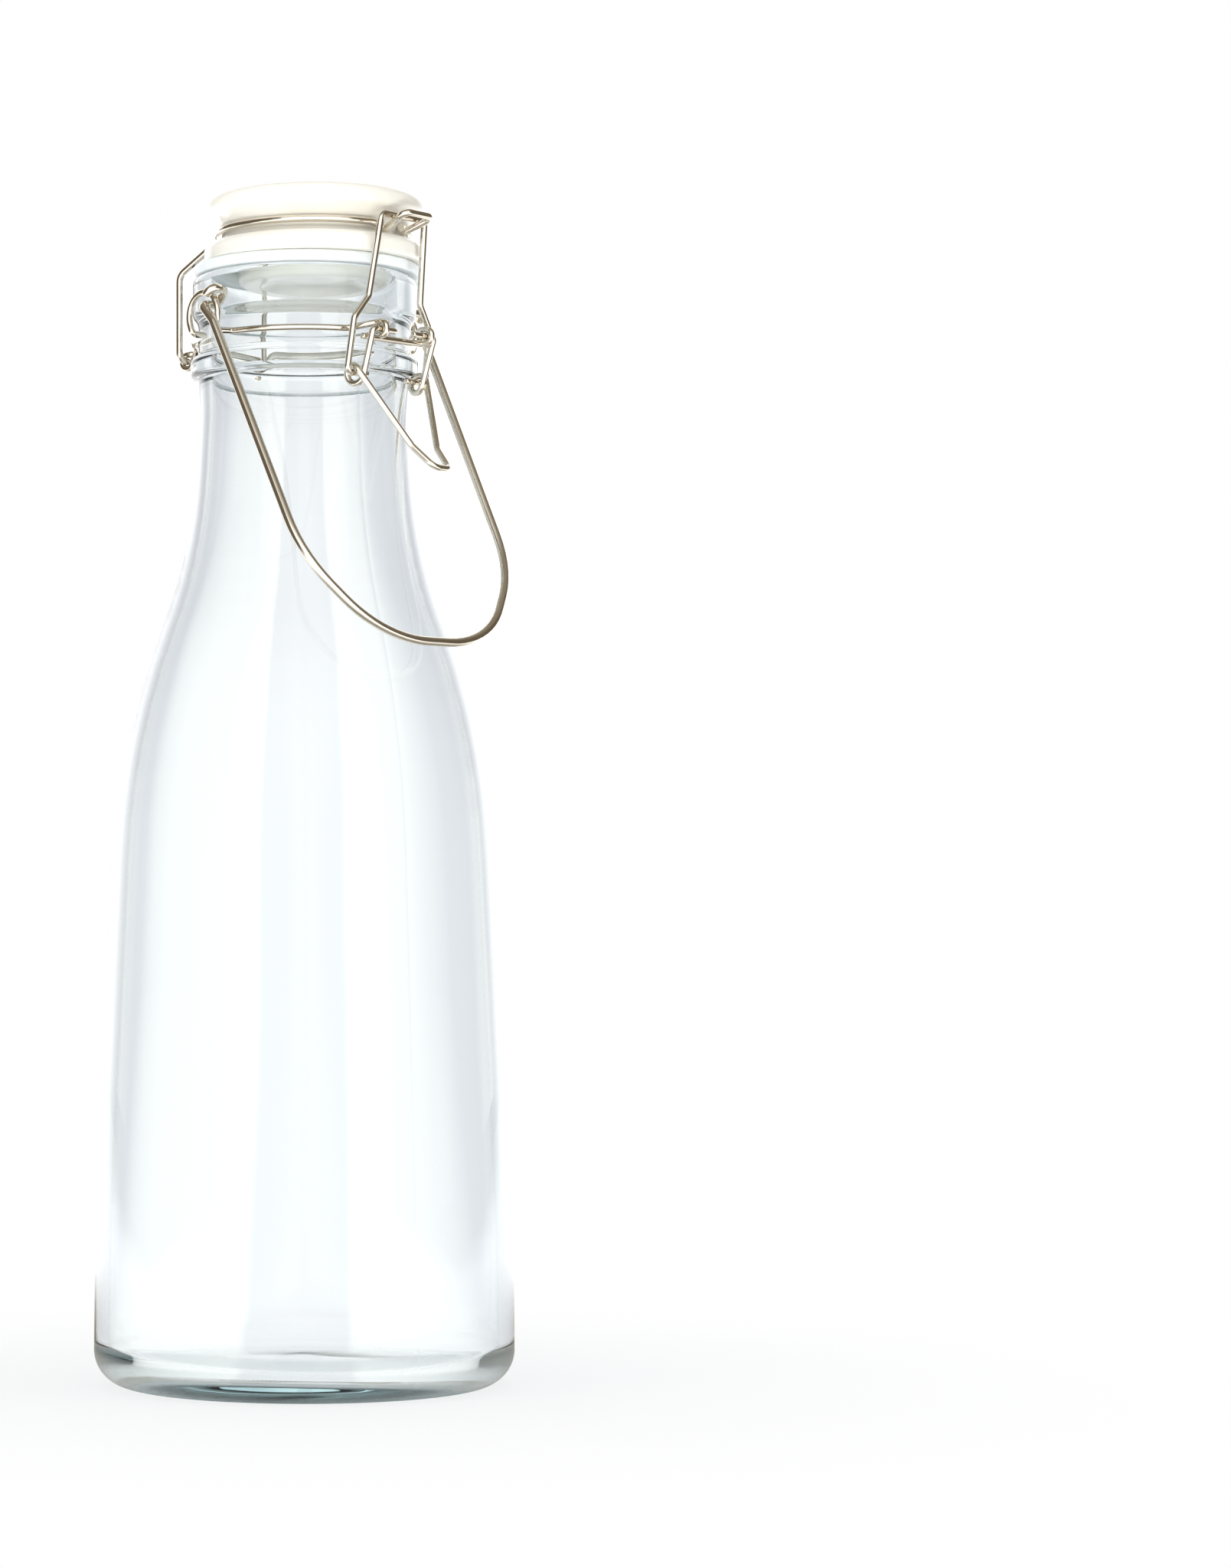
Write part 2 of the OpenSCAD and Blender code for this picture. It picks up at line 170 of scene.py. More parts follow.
def arc_path(pts, radii, step=7.0):
    """Centre line of a wire along pts, bent to the given radius at each one."""
    pts = [Vector(p) for p in pts]
    line = [pts[0]]
    for i in range(1, len(pts) - 1):
        u, v = (pts[i] - pts[i - 1]).normalized(), (pts[i + 1] - pts[i]).normalized()
        turn = u.angle(v)
        if turn < 1e-4:
            continue
        trim = radii[i] * math.tan(turn / 2)
        n = (v - u * u.dot(v)).normalized()
        start = pts[i] - u * trim
        centre = start + n * radii[i]
        k = max(3, math.ceil(math.degrees(turn) / step))
        for j in range(k + 1):
            t = turn * j / k
            line.append(centre - n * radii[i] * math.cos(t) + u * radii[i] * math.sin(t))
    line.append(pts[-1])
    out = [line[0]]
    for p in line[1:]:
        if (p - out[-1]).length > 0.02:
            out.append(p)
    return out


def tube(name, line, d, around=28, longest=1.2):
    """Round wire along the centre line, with cut ends that are slightly broken at their edge."""
    path = [line[0]]
    for p in line[1:]:
        q = path[-1]
        n = max(1, math.ceil((p - q).length / longest))
        path += [q.lerp(p, k / n) for k in range(1, n + 1)]
    tangents = []
    for i in range(len(path)):
        a, b = path[max(0, i - 1)], path[min(len(path) - 1, i + 1)]
        tangents.append((b - a).normalized())
    side = tangents[0].orthogonal().normalized()
    rings = []
    r = d / 2
    for p, t in zip(path, tangents):
        side = (side - t * side.dot(t)).normalized()
        rings.append((p, side, t.cross(side), r))
    p, s, u, _ = rings[0]
    head = [(p, s, u, r - CUT_EASE), (p + tangents[0] * CUT_EASE, s, u, r)]
    p, s, u, _ = rings[-1]
    tail = [(p - tangents[-1] * CUT_EASE, s, u, r), (p, s, u, r - CUT_EASE)]
    rings = head + rings[1:-1] + tail
    verts, faces = [], []
    for p, s, u, rr in rings:
        for k in range(around):
            a = 2 * math.pi * k / around
            verts.append(p + s * (rr * math.cos(a)) + u * (rr * math.sin(a)))
    for i in range(len(rings) - 1):
        for k in range(around):
            m = (k + 1) % around
            faces.append((i * around + k, i * around + m, (i + 1) * around + m, (i + 1) * around + k))
    faces.append(tuple(reversed(range(around))))
    last = (len(rings) - 1) * around
    faces.append(tuple(range(last, last + around)))
    return new_mesh(name, verts, faces)


def flip(pts):
    """The points mirrored in the plane x = 0."""
    return [(-p[0], p[1], p[2]) for p in pts]


# ---------------------------------------------------------------- wires
def on_circle(centre_y, r, z, deg, slide=0.0):
    """Point on a level circle round (0, centre_y), moved along the tangent."""
    a = math.radians(deg)
    return (r * math.cos(a) - slide * math.sin(a), centre_y + r * math.sin(a) + slide * math.cos(a), z)


def round_bend(centre_y, r, z, a, b, steps):
    """Corners that carry a bent wire round that circle from angle a to angle b."""
    half = (b - a) / steps / 2
    wide = r / math.cos(math.radians(half))
    return [on_circle(centre_y, wide, z, a + half * (2 * i + 1)) for i in range(steps)]


def lid_wire():
    """Hinge stubs and legs at the back, the loop in the lid's groove and the nose in front."""
    half = [
        (HINGE_SPAN / 2 - 2, HINGE_Y, HINGE_Z),
        (HINGE_LEG_X, HINGE_Y, HINGE_Z),
        (HINGE_LEG_X, HINGE_Y, LID_Z - 0.5),
        on_circle(-LID_SHIFT, LID_WIRE_R, LID_WIRE_Z, LID_WIRE_BACK, 2.6),
        *round_bend(-LID_SHIFT, LID_WIRE_R, LID_WIRE_Z, LID_WIRE_BACK, LID_WIRE_FRONT, LID_WIRE_BENDS),
        on_circle(-LID_SHIFT, LID_WIRE_R, LID_WIRE_Z, LID_WIRE_FRONT, -1.4),
        NOSE_ROOT,
        NOSE_TIP,
    ]
    radii = [0, 2, 3, 3] + [EASE * LID_WIRE_R] * LID_WIRE_BENDS + [3, 1.4, 1.8]
    return tube("lid_wire_bent", arc_path(half + flip(half)[::-1], radii + radii[::-1]), LID_WIRE_D)


def ear_points(a):
    """The ear at angle a: an arch of the ring's wire that stands off from the glass."""
    def stood_off(t, z):
        r = math.radians(a)
        return (EAR_X * math.cos(r) - t * math.sin(r), EAR_X * math.sin(r) + t * math.cos(r), z)
    wide = EAR_R / math.cos(math.radians(EAR_STEP / 2))
    ring = []
    for i in range(EAR_CORNERS):
        t = math.radians(90 + ((EAR_CORNERS - 1) / 2 - i) * EAR_STEP)
        ring.append(stood_off(wide * math.cos(t), EAR_Z + wide * math.sin(t)))
    return (
        [on_circle(0, RING_R, RING_Z, a - EAR_ROOM, 0.8), stood_off(-EAR_FOOT, RING_Z)]
        + ring
        + [stood_off(EAR_FOOT, RING_Z), on_circle(0, RING_R, RING_Z, a + EAR_ROOM, -0.8)]
    )


def ring_side(ear_a):
    """One side of the ring: rear eye, ear and front eye."""
    rx, ry, rz, rr = HINGE_SPAN / 2, HINGE_Y, HINGE_Z, REAR_EYE_R
    fx, fy, fz, fr = EYE_SPAN / 2, PIVOT[1], PIVOT[2], FRONT_EYE_R
    return (
        [(rx, ry - 1.5, rz + rr), (rx, ry + rr, rz + rr), (rx, ry + rr, rz - rr), (rx, ry - 1, rz - rr),
         on_circle(0, RING_R, RING_Z, RING_BACK, 2)]
        + round_bend(0, RING_R, RING_Z, RING_BACK, ear_a + EAR_ROOM, 2)
        + ear_points(ear_a)[::-1]
        + round_bend(0, RING_R, RING_Z, ear_a - EAR_ROOM, RING_FRONT, 2)
        + [on_circle(0, RING_R, RING_Z, RING_FRONT, -2),
           (fx, fy + 1.5, fz + fr), (fx, fy - fr, fz + fr), (fx, fy - fr, fz - fr)]
    )


def neck_ring():
    """One wire from front eye to front eye round the back, and across under them."""
    bends = (
        [0.9, EASE * REAR_EYE_R, EASE * REAR_EYE_R, 1, 3] + [EASE * RING_R] * 2 + [1, 0.9]
        + [EASE * EAR_R] * EAR_CORNERS + [0.9, 1] + [EASE * RING_R] * 2
        + [3, 1, EASE * FRONT_EYE_R, EASE * FRONT_EYE_R]
    )
    fx, fy, fz = EYE_SPAN / 2, PIVOT[1], PIVOT[2] - FRONT_EYE_R
    pts = (
        [(-fx, fy + 0.2, fz)] + flip(ring_side(-HANDLE_TURN))[::-1] + ring_side(HANDLE_TURN)
        + [(fx, fy + 1.5, fz), (-fx - BAR_PAST_EYE, fy + 2.7, fz - 0.1)]
    )
    return tube("neck_ring_bent", arc_path(pts, [0] + bends[::-1] + bends + [0.9, 0]), RING_WIRE_D)


def latch_link():
    """Pin stubs, two legs with a knee each, and the crossbar."""
    def down(t):
        return (CROSSBAR[1] + (PIN[1] - CROSSBAR[1]) * t, CROSSBAR[2] + (PIN[2] - CROSSBAR[2]) * t)
    half = [
        (LINK_STUB_X, PIN[1], PIN[2]),
        (LINK_LOW_W / 2, PIN[1], PIN[2]),
        (LINK_LOW_W / 2 - 0.6,) + down(0.66),
        (LINK_TOP_W / 2 + 1.5,) + down(0.52),
        (LINK_TOP_W / 2, CROSSBAR[1], CROSSBAR[2]),
    ]
    radii = [0, 1.4, 2, 2, 1.6]
    return tube("latch_link_bent", arc_path(half + flip(half)[::-1], radii + radii[::-1]), LINK_WIRE_D)


def latch_lever():
    """One wire: front eye stub, bend, a full turn round the link's pin, thumb end, and back the same way."""
    centre = Vector(PIN) + (Vector(PIN) - Vector(CROSSBAR)).normalized() * LOOP_DROP
    bend = (LEVER_SPAN / 2, PIVOT[1], PIVOT[2])

    def touch(p, side):
        dy, dz = p[1] - centre.y, p[2] - centre.z
        return math.atan2(dz, dy) + side * math.acos(LOOP_R / math.hypot(dy, dz))
    first, last = touch(bend, 1), touch(THUMB_BEND, -1)
    while last < first + math.pi:
        last += 2 * math.pi
    loop = []
    for i in range(LOOP_STEPS + 1):
        f = i / LOOP_STEPS
        a = first + (last - first) * f
        x = LOOP_X_IN + (LOOP_X_OUT - LOOP_X_IN) * f
        loop.append(Vector((x, centre.y + LOOP_R * math.cos(a), centre.z + LOOP_R * math.sin(a))))
    stub = arc_path([(EYE_SPAN / 2 - 4.8, PIVOT[1], PIVOT[2]), bend, tuple(loop[0])], [0, 1.1, 0])
    side = stub[:-1] + loop
    arm = [tuple(loop[-1]), THUMB_BEND, THUMB_TIP]
    arm = arc_path(arm + flip(arm)[::-1], [0, 4, 2.2, 2.2, 4, 0])
    mirror = [Vector(p) for p in flip(side)][::-1]
    return tube("latch_lever_bent", side + arm[1:-1] + mirror, LEVER_WIRE_D, longest=0.9)


def handle():
    """Hooks in the ears, legs and bow, made hanging straight down and then tilted into place."""
    lean = Vector((0, -math.sin(math.radians(HOOK_LEAN)), -math.cos(math.radians(HOOK_LEAN))))
    outer, inner = Vector((EAR_X + HOOK_HALF, 0, 0)), Vector((EAR_X - HOOK_HALF, 0, 0))
    half = [
        outer + lean * (HOOK_ROOT + HOOK_TAIL),
        outer + lean * HOOK_REACH,
        inner + lean * HOOK_REACH,
        inner + lean * HOOK_ROOT,
        outer + lean * HOOK_ROOT,
        Vector((EAR_X + HOOK_HALF, -LEG_SET, -5)),
        Vector((BOW_HALF, -LEG_SET, -HANDLE_L + BOW_RISE)),
        Vector((BOW_FLAT, -LEG_SET, -HANDLE_L)),
    ]
    half = [tuple(p) for p in half]
    radii = [0, 1.9, 1.9, 1.9, 1.9, 3, 30, 24]
    line = arc_path(half + flip(half)[::-1], radii + radii[::-1], step=5)
    turn = Matrix.Rotation(math.radians(HANDLE_TURN), 4, "Z")
    tilt = Matrix.Rotation(math.radians(-HANDLE_TILT), 4, "X")
    place = turn @ Matrix.Translation((0, 0, EAR_Z)) @ tilt
    return tube("handle_bent", [place @ p for p in line], HANDLE_WIRE_D, around=32, longest=1.6)


# ---------------------------------------------------------------- glass, ceramic, silicone
# Mould seams: their angles, the finer steps beside them in degrees, and the ridge in mm
SEAMS = (math.radians(-107), math.radians(-107) + math.pi)
SEAM_STEPS = (-0.8, -0.55, -0.35, -0.2, -0.1, 0, 0.1, 0.2, 0.35, 0.55, 0.8)
SEAM_H, SEAM_FOOT_H, SEAM_FADE, SEAM_W = 0.012, 0.06, 14.0, 0.4
# Waves round the turned pieces: height, count, start and drift with z
INSIDE_WAVES = ((0.14, 2, 0.6, 0.002), (0.07, 3, 1.1, 0.0), (0.02, 7, 0.0, 0.006), (0.012, 13, 2.0, -0.004))
OUTSIDE_WAVES = ((0.025, 5, 0.0, 0.004), (0.01, 9, 0.0, -0.006))
LID_WAVES = ((0.05, 2, 0.4, 0.0), (0.03, 5, 0.0, 0.4))
# How far the looks lie inside the solids, and the dip of the glass's inner floor
GLASS_IN, LID_IN, GASKET_IN = 0.05, 0.08, 0.06
FLOOR_DIP, FLOOR_DIP_Z, FLOOR_FULL_R = 0.35, 20.0, 30.0


def turned_angles(n, fine=()):
    """n even angles round the circle, with finer ones at each angle in fine."""
    a = [2 * math.pi * i / n for i in range(n)]
    for s in fine:
        a += [s + math.radians(d) for d in SEAM_STEPS]
    a = sorted(t % (2 * math.pi) for t in a)
    return [t for i, t in enumerate(a) if i == 0 or t - a[i - 1] > 1e-4]


def turned_off(t, from_angle):
    """Signed angle from one angle to t."""
    return (t - from_angle + math.pi) % (2 * math.pi) - math.pi


def waves(rows, t, z):
    return sum(high * math.sin(count * t + start + drift * z) for high, count, start, drift in rows)


def bottle():
    """Blown glass: the outline turned, with slight waves and two mould seams."""
    top_z = TAPER_Z + (TAPER_R - NECK_R - 1.8) / SLOPE
    top_r = NECK_R + NECK_TAPER * (NECK_Z - top_z)
    w = WALL
    pts = outline([
        (0, PUNT, 0), (BODY_R - HEEL - FOOT_W, 0, 6), (BODY_R, 0, HEEL), (BELLY_R + 0.2, BELLY_Z, 500),
        (TAPER_R, TAPER_Z, 180), (top_r, top_z, 110), (NECK_R, NECK_Z, 60),
        (NECK_R + 0.3, GROOVE_LOW - 5.6, 0.8), (BEAD_R, GROOVE_LOW - 5, 1.3), (BEAD_R, GROOVE_LOW - 0.8, 1.3),
        (GROOVE_R, GROOVE_LOW, 0.9), (GROOVE_R, GROOVE_TOP, 3), (FINISH_R, GROOVE_TOP + 1.6, 2.5),
        (FINISH_R, RIM_Z, 1.9), (MOUTH_R, RIM_Z, 1.6), (MOUTH_R, GROOVE_LOW, 12),
        (NECK_R - w, NECK_Z, 60), (top_r - w, top_z, 110), (TAPER_R - w, TAPER_Z, 177),
        (BELLY_R - w, BELLY_Z, 500), (BODY_R - w, LOOK_BASE, 6), (0, LOOK_BASE + LOOK_RISE, 0),
    ], longest=2.5)
    rim = max(range(len(pts)), key=lambda i: pts[i][1])

    def shape(i, r, z, t):
        if i > rim:
            full = min(1.0, r / FLOOR_FULL_R)
            dip = FLOOR_DIP * math.sin(2 * t + 1.0) * full if z < FLOOR_DIP_Z else 0.0
            return r + waves(INSIDE_WAVES, t, z) * full, z + dip
        wave = waves(OUTSIDE_WAVES, t, z) if 12 < z < GROOVE_LOW - 6 else 0.0
        ridge = 0.0
        if 1.0 < z < GROOVE_LOW - 6:
            high = SEAM_H + SEAM_FOOT_H * math.exp(-z / SEAM_FADE)
            ridge = sum(high * math.exp(-(turned_off(t, seam) * r / SEAM_W) ** 2) for seam in SEAMS)
        return min(r + wave - GLASS_IN + ridge, r), z
    return lathe("bottle_blown", pts, turned_angles(224, SEAMS), shape)


def lid():
    """Glazed ceramic lid: two rolled rims with the wire's groove between them, and the plug below."""
    g = LID_GROOVE_R
    low = -GASKET_T - PLUG_H
    pts = outline([
        (0, LID_H, 0), (LID_R - 6, LID_H - 0.1, 30), (LID_R, LID_H - 1.2, 2.4), (LID_R, LID_H - 4.6, 2.2),
        (g + 1.2, LID_GROOVE_Z + 2.1, 2), (g, LID_GROOVE_Z + 1.2, 1), (g, LID_GROOVE_Z - 1.3, 1),
        (g + 1.2, LID_GROOVE_Z - 2, 1.5), (LID_R - 0.2, LID_GROOVE_Z - 3, 2), (LID_R - 0.2, 0, 0.8),
        (PLUG_R, 0, 0.4), (PLUG_R, low, 1.6), (PLUG_R - 5, low, 1.5), (PLUG_R - 8, low + 1.6, 2),
        (0, low + 2, 0),
    ], longest=2.0)

    def shape(i, r, z, t):
        return r - LID_IN + waves(LID_WAVES, t, z), z
    obj = lathe("lid_glazed", pts, turned_angles(160), shape)
    obj.data.transform(Matrix.Translation((0, -LID_SHIFT * MM, LID_Z * MM)))
    return obj


def gasket():
    """Ring with its pull tab drawn out of the outer edge."""
    hole = PLUG_R + LID_SHIFT - GASKET_SHIFT + 0.15
    h = GASKET_T - 2 * SEAL
    pts = outline([(hole, 0, 0), (GASKET_R, 0, 0.7), (GASKET_R, h, 0.7), (hole, h, 0)], longest=0.8)
    tab = math.radians(TAB_TURN)

    def shape(i, r, z, t):
        span = turned_off(t, tab) * GASKET_R / (TAB_W / 2)
        grow = TAB_L * max(0.0, 1 - abs(span) ** 2.6) ** 0.5 if abs(span) < 1 else 0.0
        part = max(0.0, (r - hole) / (GASKET_R - hole)) ** 3
        thin = 1 - 0.25 * min(1.0, grow / TAB_L) * part
        return r - GASKET_IN + grow * part, h / 2 + (z - h / 2) * thin
    fine = [tab % (2 * math.pi) + math.radians(d * 0.5) for d in range(-20, 21)]
    angles = sorted(set(turned_angles(180) + fine))
    angles = [t for i, t in enumerate(angles) if i == 0 or t - angles[i - 1] > 2e-3]
    obj = lathe("gasket_moulded", pts, angles, shape, closed=True)
    obj.data.transform(Matrix.Translation((0, -GASKET_SHIFT * MM, (RIM_Z + SEAL) * MM)))
    return obj


# ---------------------------------------------------------------- node helpers
def feed(nt, socket, value):
    """Links the value if it is a socket itself, and sets it otherwise."""
    if isinstance(value, bpy.types.NodeSocket):
        nt.links.new(value, socket)
    else:
        socket.default_value = value


def calc(nt, operation, a, b=0.0):
    node = nt.nodes.new("ShaderNodeMath")
    node.operation = operation
    feed(nt, node.inputs[0], a)
    feed(nt, node.inputs[1], b)
    return node.outputs["Value"]


def fit(nt, value, start, end, low=0.0, high=1.0, kind="SMOOTHSTEP"):
    """Takes the value from start...end to low...high."""
    node = nt.nodes.new("ShaderNodeMapRange")
    node.interpolation_type = kind
    for name, number in (("From Min", start), ("From Max", end), ("To Min", low), ("To Max", high)):
        node.inputs[name].default_value = number
    feed(nt, node.inputs["Value"], value)
    return node.outputs["Result"]


def pick(nt, fac, a, b, blend="MIX"):
    """Mixes two colours."""
    node = nt.nodes.new("ShaderNodeMix")
    node.data_type = "RGBA"
    node.blend_type = blend
    for socket, value in ((0, fac), (6, a), (7, b)):
        feed(nt, node.inputs[socket], value)
    return node.outputs[2]


def pick_value(nt, fac, a, b):
    """Mixes two numbers."""
    node = nt.nodes.new("ShaderNodeMix")
    for socket, value in ((0, fac), (2, a), (3, b)):
        feed(nt, node.inputs[socket], value)
    return node.outputs[0]


def along(nt, where, direction):
    """How far a place lies in a direction."""
    node = nt.nodes.new("ShaderNodeVectorMath")
    node.operation = "DOT_PRODUCT"
    node.inputs[1].default_value = direction
    nt.links.new(where, node.inputs[0])
    return node.outputs["Value"]


def either(nt, fac, a, b):
    """Mixes two shaders."""
    node = nt.nodes.new("ShaderNodeMixShader")
    for socket, value in zip(node.inputs, (fac, a, b)):
        nt.links.new(value, socket)
    return node.outputs["Shader"]


def noise(nt, scale, detail, rough=0.5, stretch=(1, 1, 1)):
    coord = nt.nodes.new("ShaderNodeTexCoord")
    mapping = nt.nodes.new("ShaderNodeMapping")
    mapping.inputs["Scale"].default_value = stretch
    tex = nt.nodes.new("ShaderNodeTexNoise")
    tex.inputs["Scale"].default_value = scale
    tex.inputs["Detail"].default_value = detail
    tex.inputs["Roughness"].default_value = rough
    nt.links.new(coord.outputs["Object"], mapping.inputs["Vector"])
    nt.links.new(mapping.outputs["Vector"], tex.inputs["Vector"])
    return tex.outputs["Fac"]


def ramp(nt, fac, *stops):
    """Colour ramp with the stops (position, red, green, blue)."""
    node = nt.nodes.new("ShaderNodeValToRGB")
    elements = node.color_ramp.elements
    for i, (position, *colour) in enumerate(stops):
        last = i == len(stops) - 1
        element = elements[0] if i == 0 else elements[-1] if last else elements.new(position)
        element.position = position
        element.color = (*colour, 1)
    nt.links.new(fac, node.inputs["Fac"])
    return node.outputs["Color"]


# ---------------------------------------------------------------- materials
# Frosted bearing edge of the glass: full below the first height, gone above the second, in metres
FROST_FULL, FROST_END, FROST_ROUGH = 0.0005, 0.0026, 0.5


def material(name, **values):
    """Principled material with constant values set on its own sockets."""
    m = bpy.data.materials.new(name)
    m.use_nodes = True
    nt = m.node_tree
    nt.nodes.clear()
    out = nt.nodes.new("ShaderNodeOutputMaterial")
    bsdf = nt.nodes.new("ShaderNodeBsdfPrincipled")
    nt.links.new(bsdf.outputs["BSDF"], out.inputs["Surface"])
    for key, value in values.items():
        bsdf.inputs[key.replace("_", " ")].default_value = value
    return m, nt, bsdf, out


def bump(nt, bsdf, height, strength, distance):
    node = nt.nodes.new("ShaderNodeBump")
    node.inputs["Strength"].default_value = strength
    node.inputs["Distance"].default_value = distance
    nt.links.new(height, node.inputs["Height"])
    nt.links.new(node.outputs["Normal"], bsdf.inputs["Normal"])


def glass_material():
    """Clear glass with a frosted bearing edge, faint waves and a green-blue depth."""
    m, nt, b, out = material(
        "clear_glass", Base_Color=(0.985, 0.995, 0.995, 1), Transmission_Weight=1.0, IOR=1.5)
    coord = nt.nodes.new("ShaderNodeTexCoord")
    height = along(nt, coord.outputs["Object"], (0, 0, 1))
    frost = fit(nt, height, FROST_FULL, FROST_END, FROST_ROUGH, 0.0, "LINEAR")
    nt.links.new(frost, b.inputs["Roughness"])
    bump(nt, b, noise(nt, 26.0, 2.0, stretch=(1, 1, 0.35)), 0.35, 0.0004)
    clear = nt.nodes.new("ShaderNodeBsdfTransparent")
    clear.inputs["Color"].default_value = (0.9, 0.93, 0.93, 1)
    path = nt.nodes.new("ShaderNodeLightPath")
    surface = either(nt, path.outputs["Is Shadow Ray"], b.outputs["BSDF"], clear.outputs["BSDF"])
    nt.links.new(surface, out.inputs["Surface"])
    tint = nt.nodes.new("ShaderNodeVolumeAbsorption")
    tint.inputs["Color"].default_value = (0.55, 0.86, 0.88, 1)
    tint.inputs["Density"].default_value = 12.0
    nt.links.new(tint.outputs["Volume"], out.inputs["Volume"])
    return m


def wire_material():
    m, nt, b, _ = material("nickel_wire", Metallic=1.0)
    patches = noise(nt, 90.0, 3.0)
    tone = ramp(nt, patches, (0.3, 0.66, 0.61, 0.52), (0.5, 0.72, 0.67, 0.58), (0.72, 0.76, 0.72, 0.63))
    nt.links.new(tone, b.inputs["Base Color"])
    nt.links.new(fit(nt, noise(nt, 160.0, 3.0), 0.0, 1.0, 0.09, 0.17, "LINEAR"), b.inputs["Roughness"])
    bump(nt, b, noise(nt, 700.0, 2.0), 0.08, 0.00002)
    return m


def ceramic_material():
    m, nt, b, _ = material(
        "cream_glaze", Roughness=0.38, IOR=1.5, Coat_Weight=0.8, Coat_Roughness=0.06,
        Subsurface_Weight=0.15, Subsurface_Radius=(0.004, 0.003, 0.002), Subsurface_Scale=0.6)
    cloud = noise(nt, 55.0, 5.0, 0.55)
    tone = ramp(nt, cloud, (0.3, 0.86, 0.82, 0.72), (0.6, 0.90, 0.875, 0.79), (0.8, 0.92, 0.90, 0.83))
    nt.links.new(tone, b.inputs["Base Color"])
    bump(nt, b, noise(nt, 90.0, 2.0), 0.12, 0.0004)
    return m


def silicone_material():
    m, nt, b, _ = material(
        "milky_silicone", Roughness=0.42, IOR=1.41,
        Subsurface_Weight=0.35, Subsurface_Radius=(0.003, 0.003, 0.003), Subsurface_Scale=1.0)
    tone = ramp(nt, noise(nt, 120.0, 4.0), (0.3, 0.80, 0.85, 0.84), (0.7, 0.86, 0.90, 0.895))
    nt.links.new(tone, b.inputs["Base Color"])
    bump(nt, b, noise(nt, 1100.0, 3.0, 0.6), 0.2, 0.00008)
    return m


# ---------------------------------------------------------------- the object
glass, wire, ceramic, silicone = glass_material(), wire_material(), ceramic_material(), silicone_material()
PIECES = [
    (bottle, "bottle_glass", "bottle", "clear_glass", glass),
    (neck_ring, "neck_ring", "bottle", "wire", wire),
    (lid, "lid", "lid", "lid_ceramic", ceramic),
    (gasket, "gasket", "lid", "gasket_silicone", silicone),
    (lid_wire, "lid_wire", "lid", "wire", wire),
    (latch_link, "latch_link", "link", "wire", wire),
    (latch_lever, "latch_lever", "lever", "wire", wire),
    (handle, "handle", "handle", "wire", wire),
]
for make, node, body, slot, mat in PIECES:
    piece = make()
    piece.data.materials.append(mat)
    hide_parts(node)
    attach(piece, body)
    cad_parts[node].data.materials.clear()
    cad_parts[node].data.materials.append(mat)

# ---------------------------------------------------------------- camera, as fitted to the photograph
VIEW_A = math.radians(-48)
DISTANCE, EYE_Z = 0.9256, 0.1014
# The picture's size, the bottle's axis and the camera's level in it, and its scale at the axis per metre
PHOTO_W, PHOTO_H = 1608, 2048
AXIS_PX, LEVEL_PX, SCALE_PX = 397.5, 1232.3, 5672.0
SENSOR = 36.0
FORWARD = Vector((-math.sin(VIEW_A), math.cos(VIEW_A), 0))
RIGHT = Vector((math.cos(VIEW_A), math.sin(VIEW_A), 0))

cam_data = bpy.data.cameras.new("photo_camera")
cam = bpy.data.objects.new("photo_camera", cam_data)
bpy.context.scene.collection.objects.link(cam)
cam.location = -FORWARD * DISTANCE + Vector((0, 0, EYE_Z))
cam.rotation_euler = (math.pi / 2, 0, VIEW_A)
cam_data.sensor_width = SENSOR
cam_data.sensor_fit = "AUTO"
cam_data.lens = SCALE_PX * DISTANCE / PHOTO_H * SENSOR
cam_data.shift_x = (PHOTO_W / 2 - AXIS_PX) / PHOTO_H
cam_data.shift_y = (LEVEL_PX - PHOTO_H / 2) / PHOTO_H
cam_data.clip_end = 50
bpy.context.scene.camera = cam


# ---------------------------------------------------------------- floor, world and lamps
WHITE = (1, 1, 1, 1)
# Seen through the glass: the sides' tone, the tone high up, and a dim strip between two panels at the back
SIDE_GLASS = (0.755, 0.765, 0.795, 1)
HIGH_GLASS = (0.86, 0.86, 0.87, 1)
HIGH_START, HIGH_END = 0.05, 0.17
STRIP = (0.855, 0.858, 0.876, 1)
STRIP_OFF, STRIP_IN, STRIP_OUT = math.radians(0.2), math.radians(1.3), math.radians(1.6)
# Mirrored in gloss: the sides' tone and the tone straight above and below
SIDE_GLOSS = (0.09, 0.075, 0.055, 1)
STEEP_GLOSS = (0.17, 0.15, 0.12, 1)
STEEP_START, STEEP_END = 0.4, 0.95
# How much brighter than the white seen by the camera the panels are
GLASS_LIGHT, GLOSS_LIGHT = 1.13, 1.9
# Panels round the bottle: eight for what shows through glass, two for gloss
PANELS_THROUGH, PANELS_GLOSS, PANELS_OFF = 8.0, 2.0, math.radians(1.2)
# Floor, in metres: half its side, a length added ahead so that its tones have no centre point, and the
# angle from the back beyond which they stay the same; then how the lamp-lit shade near the object gives way
# to the glow, with the glow's share under the object; last, where gloss meets the tone for steep directions
FLOOR_HALF, FLOOR_CENTRE, FLOOR_HOLD = 6.0, 0.5, math.pi / 8
SHADE_START, SHADE_END, SHADE_MIX = 0.03, 0.22, 0.72
UNDER_START, UNDER_END = 0.5, 0.1


def seen(nt):
    """1 for rays from the camera, from gloss and through glass."""
    path = nt.nodes.new("ShaderNodeLightPath")
    gloss = calc(nt, "MAXIMUM", path.outputs["Is Camera Ray"], path.outputs["Is Glossy Ray"])
    return calc(nt, "MAXIMUM", gloss, path.outputs["Is Transmission Ray"])


